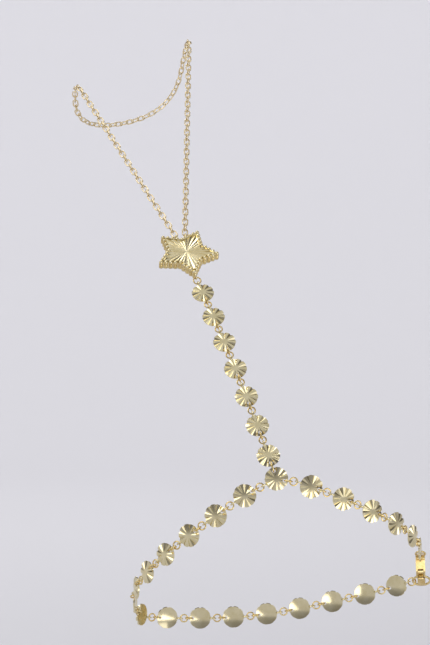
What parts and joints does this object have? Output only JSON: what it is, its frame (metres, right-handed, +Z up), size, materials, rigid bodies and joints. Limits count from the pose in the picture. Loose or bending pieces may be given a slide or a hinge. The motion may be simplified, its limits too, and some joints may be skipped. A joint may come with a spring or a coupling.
{
  "type": "hand chain bracelet",
  "caption": "Hand chain in the form it is worn: a wrist chain of fluted discs, a strand of discs up the hand, a star, and a fine link chain that loops a finger.",
  "frame": {"origin": "middle of the wrist loop, on the line that the forearm takes through it", "axes": "+Z up the forearm to the fingers, -Y the back of the hand, where the centre disc and the star are, +X the side with the clasp"},
  "size_m": [0.0786, 0.088, 0.131],
  "materials": {
    "disc_gold": "polished, pale gold plated",
    "star_gold": "polished, pale gold plated",
    "ring_gold": "polished, gold plated",
    "link_gold": "polished, gold plated",
    "clasp_gold": "polished, gold plated"
  },
  "bodies": {
    "chain": {"star": "star_gold", "star_ring": "ring_gold", "centre_disc": "disc_gold", "centre_ring": "ring_gold", "strand_disc_1": "disc_gold", "strand_disc_2": "disc_gold", "strand_disc_3": "disc_gold", "strand_disc_4": "disc_gold", "strand_disc_5": "disc_gold", "strand_disc_6": "disc_gold", "strand_disc_7": "disc_gold", "right_disc_1": "disc_gold", "right_disc_2": "disc_gold", "right_disc_3": "disc_gold", "right_disc_4": "disc_gold", "right_disc_5": "disc_gold", "right_disc_6": "disc_gold", "left_disc_1": "disc_gold", "left_disc_2": "disc_gold", "left_disc_3": "disc_gold", "left_disc_4": "disc_gold", "left_disc_5": "disc_gold", "left_disc_6": "disc_gold", "left_disc_7": "disc_gold", "left_disc_8": "disc_gold", "left_disc_9": "disc_gold", "left_disc_10": "disc_gold", "left_disc_11": "disc_gold", "left_disc_12": "disc_gold", "left_disc_13": "disc_gold", "left_disc_14": "disc_gold", "left_disc_15": "disc_gold", "left_disc_16": "disc_gold", "strand_rings": "ring_gold", "right_rings": "ring_gold", "left_rings": "ring_gold", "finger_chain_left": "link_gold", "finger_chain_right": "link_gold", "clasp_ring": "ring_gold", "clasp_body": "clasp_gold", "end_ring": "ring_gold", "end_link": "ring_gold"},
    "lever": {"clasp_lever": "clasp_gold"}
  },
  "joints": [
    {"name": "clasp_lever_turn", "type": "hinge", "parent": "chain", "child": "lever", "pos_m": [0.03072, 0.00471, -0.00601], "axis": [0.9927, -0.1142, 0.0393], "range_deg": [0, 16], "stiffness_Nm_per_rad": 0.00002, "springref_deg": -28.65}
  ]
}
